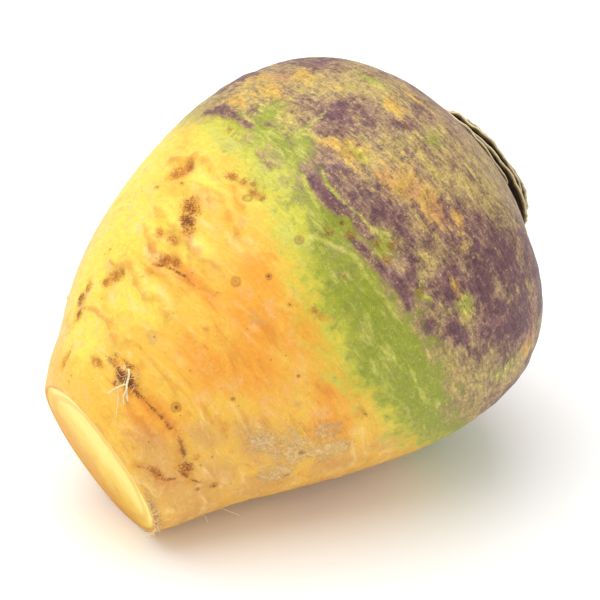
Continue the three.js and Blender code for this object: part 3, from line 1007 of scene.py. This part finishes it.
def power_prop(name, description, default):
    """The power of a light, in watts."""
    return bpy.props.FloatProperty(
        name=name, description=description, default=default, min=0, max=200, unit="POWER")


class RUTABAGA_PG_root(bpy.types.PropertyGroup):
    """Relief of the root's surface."""

    lumps: height_prop("Lumps", "Height of the root's broad unevenness", 0.6)
    ridge_height: height_prop("Ridges", "Height of the raised green lines", 0.55)
    fold_depth: height_prop("Folds", "Depth of the smooth folds in the lower skin", 1.2)
    furrow_depth: height_prop("Furrows", "Depth of the purple furrows", 0.7)


class RUTABAGA_PG_colours(bpy.types.PropertyGroup):
    """Colours of the skin, the cut flesh and the dried leaf bases."""

    yellow: colour_prop("Yellow", "Main colour of the lower skin", 241, 190, 72)
    lemon: colour_prop("Lemon", "Palest skin", 246, 217, 84)
    orange: colour_prop("Orange", "Warm patches of the lower skin", 240, 164, 52)
    amber: colour_prop("Amber", "Deepest orange", 230, 140, 36)
    cream: colour_prop("Cream", "Pale swirls in the yellow", 246, 214, 136)
    peach: colour_prop("Peach", "Pinkish clouds in the yellow", 240, 186, 116)
    tan: colour_prop("Tan", "Dry skin on the underside", 212, 158, 88)
    rust: colour_prop("Rust", "Faint brown streaks in the yellow", 204, 116, 40)
    bruise: colour_prop("Bruise", "Dull spots in the yellow", 196, 150, 94)
    lime: colour_prop("Lime", "Where the green begins", 206, 200, 66)
    green: colour_prop("Green", "Middle of the green band", 140, 150, 42)
    grey_green: colour_prop("Grey green", "Dull parts of the green band", 148, 138, 76)
    purple: colour_prop("Purple", "Darker purple of the crown", 110, 74, 78)
    plum: colour_prop("Plum", "Lighter purple of the crown", 154, 112, 110)
    olive: colour_prop("Olive", "Threads and specks in the purple", 184, 160, 98)
    ochre: colour_prop("Ochre", "Warm patches of the crown", 210, 166, 76)
    pink: colour_prop("Pink", "Rosy patches of the crown", 178, 118, 94)
    # Glint: colour of the painted glints, tiny pale flecks standing in for highlights.
    ridge: colour_prop("Ridge", "Raised lines", 206, 200, 98)
    glint: colour_prop("Fleck", "Tiny pale flecks", 216, 204, 156)
    stain: colour_prop("Stain", "Skin stained round a scar", 206, 124, 42)
    scar: colour_prop("Scar", "Brown scar tissue", 156, 92, 40)
    char: colour_prop("Char", "Darkest scar tissue", 116, 62, 26)
    cork: colour_prop("Cork", "Dry cork on the underside", 230, 204, 156)
    # Groove shade: painted shade, near black, for the groove round the neck and the furrows at the
    # feet of the leaf bases.
    groove_shade: colour_prop("Pit", "Depth of the groove round the neck", 40, 30, 24)
    straw: colour_prop("Straw", "Lips of the dried leaf bases", 240, 224, 180)
    bark: colour_prop("Bark", "Sides of the dried leaf bases", 140, 112, 72)
    flesh: colour_prop("Flesh", "Cut flesh", 244, 206, 84)
    # Pale flesh also makes the painted highlight streak on the cut face, and deep flesh makes its
    # painted shade on the lower side as well as its inner ring.
    pale_flesh: colour_prop("Pale flesh", "Palest part of the cut flesh", 254, 236, 134)
    deep_flesh: colour_prop("Deep flesh", "Lower part of the cut flesh", 226, 166, 56)


class RUTABAGA_PG_stage(bpy.types.PropertyGroup):
    """Board, lights and camera."""

    board: colour_prop("Board", "Colour of the board underneath", 254, 254, 254)
    sky: bpy.props.FloatProperty(
        name="Surround", description="Strength of the even light from all round",
        default=0.66, min=0, max=4)
    key: power_prop("Key light", "Power of the large light on the left", 11.2)
    fill: power_prop("Fill light", "Power of the weak light near the camera", 0.5)


# ---------------------------------------------------------------------------------------------
# The pieces
# ---------------------------------------------------------------------------------------------

def all_colours():
    """Every colour of the panel by its name."""
    group = bpy.context.scene.rutabaga_colours
    return {key: tuple(getattr(group, key)) for key in group.__annotations__}


def root_marks(points, turns, runs):
    """The values that paint the skin, one per point."""
    wobble = Field(11)
    jitter = np.stack([wobble.rough(points + 40.0 * k, STRAY) for k in range(3)], axis=1)
    loose, close = points + LOOSE_STRAY * jitter, points + CLOSE_STRAY * jitter
    marks = {
        "green_edge": points[:, 0] - edge_station(GREEN_FROM, turns),
        "purple_edge": points[:, 0] - edge_station(PURPLE_FROM, turns),
        "ridge": strongest(stroke(close, line) for line in RIDGES),
        "band": strongest(stroke(close, line) for line in PURPLE_BANDS),
        "fold": strongest(stroke(loose, line) for line in FOLDS),
        "crack": strongest(stroke(close, line) for line in CRACKS),
        "stain": strongest(stroke(loose, line) for line in STAINS),
        "scar": strongest(patch(close, *scar[:4]) for scar in SCARS),
        "char": strongest(patch(close, *scar[:4]) * scar[5] for scar in SCARS),
    }
    for label, patches in PATCHES.items():
        marks[label] = strongest(patch(loose, *one) for one in patches)
    rows, run = even_steps(SKIN_CURVE, RING_STEP)
    crest = run[np.argmax(rows[:, 0] * (run < run[-1] - NECK_SKIN))]
    marks["neck"] = soft_step(runs, crest - 0.6, crest + 1.8)
    off = (np.degrees(turns) - TORN_TURN + 180) % 360 - 180
    near = np.exp(-(off / TORN_WIDTH) ** 2)
    marks["torn"] = near * (1 - soft_step(runs, 0.6, 3.6)) * (runs > -0.5)
    return marks


def root_relief(points, marks, relief):
    """How far each point stands proud of the smooth skin, in millimetres."""
    broad, knobbly, ringed = Field(3), Field(5), Field(7)
    lumps = 0.6 * broad.at(points, WIDE_LUMPS) + 0.2 * broad.at(points + 50, SMALL_LUMPS)
    height = relief.lumps / MM * lumps
    height += KNOB_HEIGHT * knobbly.rough(points, KNOBS)
    grain_height = RING_HEIGHT + CROWN_RING_HEIGHT * soft_step(points[:, 0], 70, 110)
    height += grain_height * ringed.rough(points * RING_SQUASH, RING_GRAIN)
    height -= relief.fold_depth / MM * marks["fold"]
    height += relief.ridge_height / MM * marks["ridge"]
    height -= relief.furrow_depth / MM * marks["band"]
    height -= CRACK_DEPTH * marks["crack"] * (0.6 + 0.5 * knobbly.at(points, 1.5))
    for station, turn, radius, tall in MOUNDS:
        height += MOUND_GAIN * tall * patch(points, station, turn, radius, radius)
    rough = knobbly.rough(points + 20, ROUGH_SIZE)
    for station, turn, length, width, depth, _ in SCARS:
        cover = patch(points, station, turn, length, width)
        height += SCAR_RIM * rim_of(cover) - depth * cover
        height += (0.12 + 0.4 * depth) * cover * rough
    for station, turn, radius, _ in PORES:
        cover = patch(points, station, turn, radius, radius)
        height += PORE_RIM * (rim_of(cover) - cover)
    height += CORK_HEIGHT * marks["cork"] * rough
    crumbs = knobbly.rough(points - 30, CRUMB_SIZE)
    return height + marks["torn"] * (0.5 * rough + 0.7 * crumbs - 0.1)


def rim_of(cover):
    """1 half way down the side of a patch, and 0 in its middle and far outside."""
    return cover * (1 - cover) * 4


def neck_relief(points, turns, marks):
    """Folds of the withered neck, in millimetres."""
    fold = np.sin(turns * NECK_FOLDS + 2.0 * Field(13).at(points, 7)) * NECK_FOLD_HEIGHT
    return marks["neck"] * (fold + NECK_KNOB_HEIGHT * Field(17).rough(points, NECK_KNOBS))


def face_direction(rings):
    """The direction in which the cut face looks."""
    a, b, c = (rings[FACE_RINGS, k * AROUND // 3] for k in range(3))
    out = np.cross(a - b, a - c)
    return out * -np.sign(out[0]) / np.linalg.norm(out)


def weathered(rings, turns, runs, marks, relief):
    """The rings' points, each moved out or in by the relief of its place."""
    points = rings.reshape(-1, 3)
    height = root_relief(points, marks, relief) * soft_step(runs, -0.5, 2.5)
    height += neck_relief(points, turns, marks)
    cut, on_face = Field(23), runs < 0
    knife = CUT_WAVE_HEIGHT * cut.rough(points, CUT_WAVE)
    knife += CUT_GRAIN_HEIGHT * cut.at(points + 9, CUT_GRAIN)
    out = np.where(on_face[:, None], face_direction(rings), grid_normals(rings).reshape(-1, 3))
    return points + np.where(on_face, knife, height)[:, None] * out


def root_values(points, poles, turns, runs, marks):
    """All that the mesh carries on its points, with the two poles' values at the end."""
    grain = np.stack([runs, GRAIN_RADIUS * np.sin(turns), GRAIN_RADIUS * np.cos(turns)], 1)
    values = {key: np.append(value, [0.0, value[-1]]) for key, value in marks.items()}
    values["own"] = np.vstack([points, poles])
    values["grain"] = np.vstack([grain, [(-1, 0, 0), (runs[-1], 0, 0)]])
    return values


def face_slots(ring_count, face_count):
    """The material slot of each face: 1 on the cut face, which has the first rings and fan."""
    slots = np.zeros(face_count, np.int32)
    slots[:(FACE_RINGS - 1) * AROUND] = 1
    slots[(ring_count - 1) * AROUND:ring_count * AROUND] = 1
    return slots


def build_root(colours, relief):
    """The root as one closed mesh, with its skin, its cut face and its neck."""
    rings, runs, turns = root_grid()
    points = rings.reshape(-1, 3)
    turn_of, run_of = np.tile(turns, len(rings)), np.repeat(runs, AROUND)
    marks = root_marks(points, turn_of, run_of)
    moved = weathered(rings, turn_of, run_of, marks, relief)
    poles = np.array([(0.0, 0.0, 0.0), around(CROWN_POLE[0], 0.0, 0.0, CROWN_POLE[1])])
    vertices = to_scene(np.vstack([moved, poles]))
    vertices[:, 2] = np.maximum(vertices[:, 2], 0)
    faces = ring_faces(len(rings), AROUND)
    values = root_values(points, poles, turn_of, run_of, marks)
    piece = mesh_piece("root_body", vertices, faces, values, face_slots(len(rings), len(faces)))
    piece.data.materials.append(skin_material(colours))
    piece.data.materials.append(flesh_material(colours))
    return piece


def neck_at(station):
    """The neck's radius and sway at a station."""
    neck = OUTLINE[-NECK_POINTS:]
    return [float(np.interp(station, neck[:, 0], neck[:, k])) for k in (1, 2)]


def build_leaf_base(step, material):
    """One dried leaf base: a crescent that hugs the neck, with a worn, wavy lip."""
    foot = LEAF_FIRST + step * LEAF_RISE
    radius, sway = neck_at(foot)
    inner = radius - LEAF_SUNK
    along = np.linspace(-1, 1, LEAF_STEPS)[:, None]
    size = LEAF_TIP + (1 - LEAF_TIP) * np.sqrt(np.clip(1 - along ** 2, 0, 1))
    turn = math.radians(step * LEAF_TURN) + along * math.radians(LEAF_SPAN) / 2
    side = np.linspace(0, 2 * np.pi, LEAF_SIDES, endpoint=False)[None, :]
    out = (1 - np.cos(side)) / 2
    half = np.sin(side) * (LEAF_THICK + (LEAF_LIP - LEAF_THICK) * out) / 2
    where = around(foot, inner + out * LEAF_DEPTH, turn, sway).reshape(-1, 3)
    worn = Field(31 + step).rough(where, 4.0).reshape(LEAF_STEPS, LEAF_SIDES)
    depth = (LEAF_DEPTH + LEAF_SUNK) * size * (1 + 0.16 * worn * out)
    rise = LEAF_LIFT * size * out ** 1.3
    radial = inner + depth * out
    axial = foot + LEAF_THICK / 2 + rise + half * size * 1.25 + 0.22 * worn * out
    rings = around(axial, radial, turn + 0 * out, sway)
    points = rings.reshape(-1, 3)
    poles = np.stack([rings[0].mean(0), rings[-1].mean(0)])
    run = np.broadcast_to(radial, rings.shape[:2]).ravel()
    flat_turn = np.broadcast_to(turn, rings.shape[:2]).ravel()
    grain = np.stack([run, 20 * np.sin(flat_turn), 20 * np.cos(flat_turn)], axis=1)
    outward = np.broadcast_to(out * np.ones_like(turn), rings.shape[:2]).ravel()
    values = {
        "own": np.vstack([points, poles]),
        "grain": np.vstack([grain, grain[:1], grain[-1:]]),
        "outward": np.append(outward, [0.4, 0.4]),
    }
    faces = [face[::-1] for face in ring_faces(*rings.shape[:2])]
    piece = mesh_piece(f"{LEAF_BASES[step]}_dried", to_scene(values["own"]), faces, values)
    piece.data.materials.append(material)
    return piece


def tube(path, thickness, sides=8):
    """Rings of a round strand that tapers to both ends, along own-frame points."""
    curve = smooth_curve(np.array(path), 6)
    share = np.linspace(0, 1, len(curve))
    belly = np.sqrt(np.clip(np.sin(np.pi * (0.12 + 0.8 * share)), 0, 1))
    width = thickness / 2 * (0.35 + 0.65 * belly)
    ahead = np.gradient(curve, axis=0)
    ahead /= np.linalg.norm(ahead, axis=1, keepdims=True)
    across = np.cross(ahead, (0.3, 0.5, 0.81))
    across /= np.linalg.norm(across, axis=1, keepdims=True)
    over = np.cross(ahead, across)
    turn = np.linspace(0, 2 * np.pi, sides, endpoint=False)
    return curve[:, None] + width[:, None, None] * (
        np.cos(turn)[None, :, None] * across[:, None] + np.sin(turn)[None, :, None] * over[:, None])


def strands_piece(name, strands, material):
    """Many separate strands as one mesh."""
    vertices, faces = [], []
    for path, thickness in strands:
        rings = tube(path, thickness)
        count = sum(len(part) for part in vertices)
        faces += [[count + corner for corner in face] for face in ring_faces(*rings.shape[:2])]
        vertices.append(np.vstack([rings.reshape(-1, 3), rings[0].mean(0), rings[-1].mean(0)]))
    points = np.vstack(vertices)
    placed = to_scene(points)
    placed[:, 2] = np.maximum(placed[:, 2], 0.1 * MM)
    piece = mesh_piece(name, placed, faces, {"own": points})
    piece.data.materials.append(material)
    return piece


def on_skin(station, turn, height):
    """A point a little above the smooth skin."""
    here = spot(station, turn)
    out = here - (station, 0.0, 0.0)
    return here + out / np.linalg.norm(out) * height


def scar_tangle():
    """Fine curled rootlets in the largest scar."""
    rng = np.random.default_rng(43)
    strands = []
    for _ in range(TANGLE):
        path = [np.array(TANGLE_AT) + rng.normal(0, TANGLE_START)]
        for _ in range(3):
            path.append(path[-1] + rng.normal(0, TANGLE_STEP))
        path = [(s, t, max(h, -0.3)) for s, t, h in path]
        strands.append(([on_skin(*point) for point in path], rng.uniform(*TANGLE_THICK)))
    return strands


def tail_fibres():
    """Short torn fibres on the lower side of the cut's rim."""
    rng = np.random.default_rng(41)
    strands = []
    for _ in range(TAIL_FIBRES):
        turn = rng.normal(FIBRE_TURN, FIBRE_SPREAD)
        start = on_skin(0.3, turn, -0.3)
        lean = rng.normal(0, 0.5, 3) + (-1.0, 0.0, 0.0)
        drop = (start - (start[0], 0, 0)) / np.linalg.norm(start[1:])
        length = rng.uniform(*FIBRE_LENGTH)
        middle = start + length * 0.5 * (lean * 0.6 + drop * 0.5)
        end = middle + length * 0.6 * (lean * 0.5 + drop * 0.3 + rng.normal(0, 0.4, 3))
        strands.append(([start, middle, end], rng.uniform(*FIBRE_THICK)))
    return strands


def settle(piece, slot, *nodes):
    """Makes a piece ride on the body and hides the CAD nodes that it stands for; the slot, meant
    for its finish, is not used.
    """
    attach(piece, BODY)
    if nodes:
        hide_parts(*nodes)


class RUTABAGA_OT_root(bpy.types.Operator):
    """Grow the root with its skin, cut face and neck"""

    bl_idname = "rutabaga.root"
    bl_label = "Root"

    def execute(self, context):
        piece = build_root(all_colours(), context.scene.rutabaga_root)
        settle(piece, SKIN_SLOT, "root")
        return {"FINISHED"}


class RUTABAGA_OT_leaf_bases(bpy.types.Operator):
    """Set the dried leaf bases round the neck"""

    bl_idname = "rutabaga.leaf_bases"
    bl_label = "Leaf bases"

    def execute(self, context):
        material = leaf_material(all_colours())
        for step, node in enumerate(LEAF_BASES):
            settle(build_leaf_base(step, material), LEAF_SLOT, node)
        return {"FINISHED"}


class RUTABAGA_OT_rootlets(bpy.types.Operator):
    """Lay the rootlets on the skin and the torn fibres on the cut's rim"""

    bl_idname = "rutabaga.rootlets"
    bl_label = "Rootlets"

    def execute(self, context):
        material = rootlet_material(all_colours())
        laid = [([on_skin(*point) for point in path], thick) for path, thick in ROOTLETS]
        settle(strands_piece("rootlets", laid, material), SKIN_SLOT)
        settle(strands_piece("scar_tangle", scar_tangle(), material), SKIN_SLOT)
        settle(strands_piece("tail_fibres", tail_fibres(), material), SKIN_SLOT)
        return {"FINISHED"}


class RUTABAGA_OT_stage(bpy.types.Operator):
    """Lay the board and set the lights and the camera"""

    bl_idname = "rutabaga.stage"
    bl_label = "Stage"

    def execute(self, context):
        stage = context.scene.rutabaga_stage
        board_piece(stage)
        surround_light(stage)
        area_light("key_light", stage.key, KEY_SIZE, KEY_PLACE)
        area_light("fill_light", stage.fill, FILL_SIZE, FILL_PLACE)
        place_camera()
        context.scene.view_settings.view_transform = "Standard"
        return {"FINISHED"}


def board_piece(stage):
    """The flat white board, so wide that no edge of it shows."""
    count = BOARD_TICKS
    ticks = np.linspace(-BOARD_HALF, BOARD_HALF, count)
    grid = np.array([(x, y, 0.0) for y in ticks for x in ticks])
    corners = [row * count + tick for row in range(count - 1) for tick in range(count - 1)]
    faces = [[c, c + 1, c + count + 1, c + count] for c in corners]
    board = mesh_piece("board", grid, faces)
    board.data.materials.append(backdrop_material(tuple(stage.board)))


def surround_light(stage):
    """An even white light from all round."""
    world = bpy.data.worlds.new("even_surround")
    world.use_nodes = True
    shader = world.node_tree.nodes["Background"]
    shader.inputs["Color"].default_value = WHITE
    shader.inputs["Strength"].default_value = stage.sky
    bpy.context.scene.world = world


def view_axes():
    """Right, up and backward directions of the camera."""
    a, e = math.radians(CAMERA_AZIMUTH), math.radians(CAMERA_ELEVATION)
    back = Vector((math.sin(a) * math.cos(e), -math.cos(a) * math.cos(e), math.sin(e)))
    right = Vector((math.cos(a), math.sin(a), 0))
    return right, back.cross(right), back


def area_light(name, power, size, place):
    """A square light at a place counted along the camera's level right, its level back and up."""
    right, _, back = view_axes()
    level = Vector((back.x, back.y, 0)).normalized()
    data = bpy.data.lights.new(name, "AREA")
    data.energy, data.size = power, size
    light = bpy.data.objects.new(name, data)
    middle = (CAD_BOX[0] + CAD_BOX[1]) / 2
    light.location = middle + right * place[0] - level * place[1] + Vector((0, 0, place[2]))
    light.rotation_euler = (middle - light.location).to_track_quat("-Z", "Y").to_euler()
    bpy.context.scene.collection.objects.link(light)


def place_camera():
    """The camera, looking at the root's aim from its azimuth and elevation."""
    _, _, back = view_axes()
    data = bpy.data.cameras.new("camera")
    data.lens = CAMERA_LENS
    camera = bpy.data.objects.new("camera", data)
    target = (CAD_BOX[0] + CAD_BOX[1]) / 2 + AIM_OFFSET
    camera.location = target + back * CAMERA_DISTANCE
    camera.rotation_euler = (-back).to_track_quat("-Z", "Y").to_euler()
    bpy.context.scene.collection.objects.link(camera)
    bpy.context.scene.camera = camera


class RUTABAGA_PT_panel(bpy.types.Panel):
    """The rutabaga's makers, listed in the sidebar"""

    bl_label = "Rutabaga"
    bl_idname = "RUTABAGA_PT_panel"
    bl_space_type = "VIEW_3D"
    bl_region_type = "UI"
    bl_category = "Rutabaga"

    def draw(self, context):
        for maker in OPERATORS:
            self.layout.operator(maker.bl_idname)
        for group in GROUPS:
            holder = getattr(context.scene, group)
            for key in holder.__annotations__:
                self.layout.prop(holder, key)


OPERATORS = (RUTABAGA_OT_stage, RUTABAGA_OT_root, RUTABAGA_OT_leaf_bases, RUTABAGA_OT_rootlets)
GROUPS = {
    "rutabaga_root": RUTABAGA_PG_root,
    "rutabaga_colours": RUTABAGA_PG_colours,
    "rutabaga_stage": RUTABAGA_PG_stage,
}


def register():
    """Adds the properties, the operators and the panel to Blender."""
    for one in (*GROUPS.values(), *OPERATORS, RUTABAGA_PT_panel):
        bpy.utils.register_class(one)
    for name, group in GROUPS.items():
        setattr(bpy.types.Scene, name, bpy.props.PointerProperty(type=group))


def unregister():
    """Takes them away again."""
    for name in GROUPS:
        delattr(bpy.types.Scene, name)
    for one in (RUTABAGA_PT_panel, *OPERATORS, *GROUPS.values()):
        bpy.utils.unregister_class(one)


def main():
    """Builds everything."""
    register()
    bpy.ops.rutabaga.stage()
    bpy.ops.rutabaga.root()
    bpy.ops.rutabaga.leaf_bases()
    bpy.ops.rutabaga.rootlets()


if __name__ == "__main__":
    main()
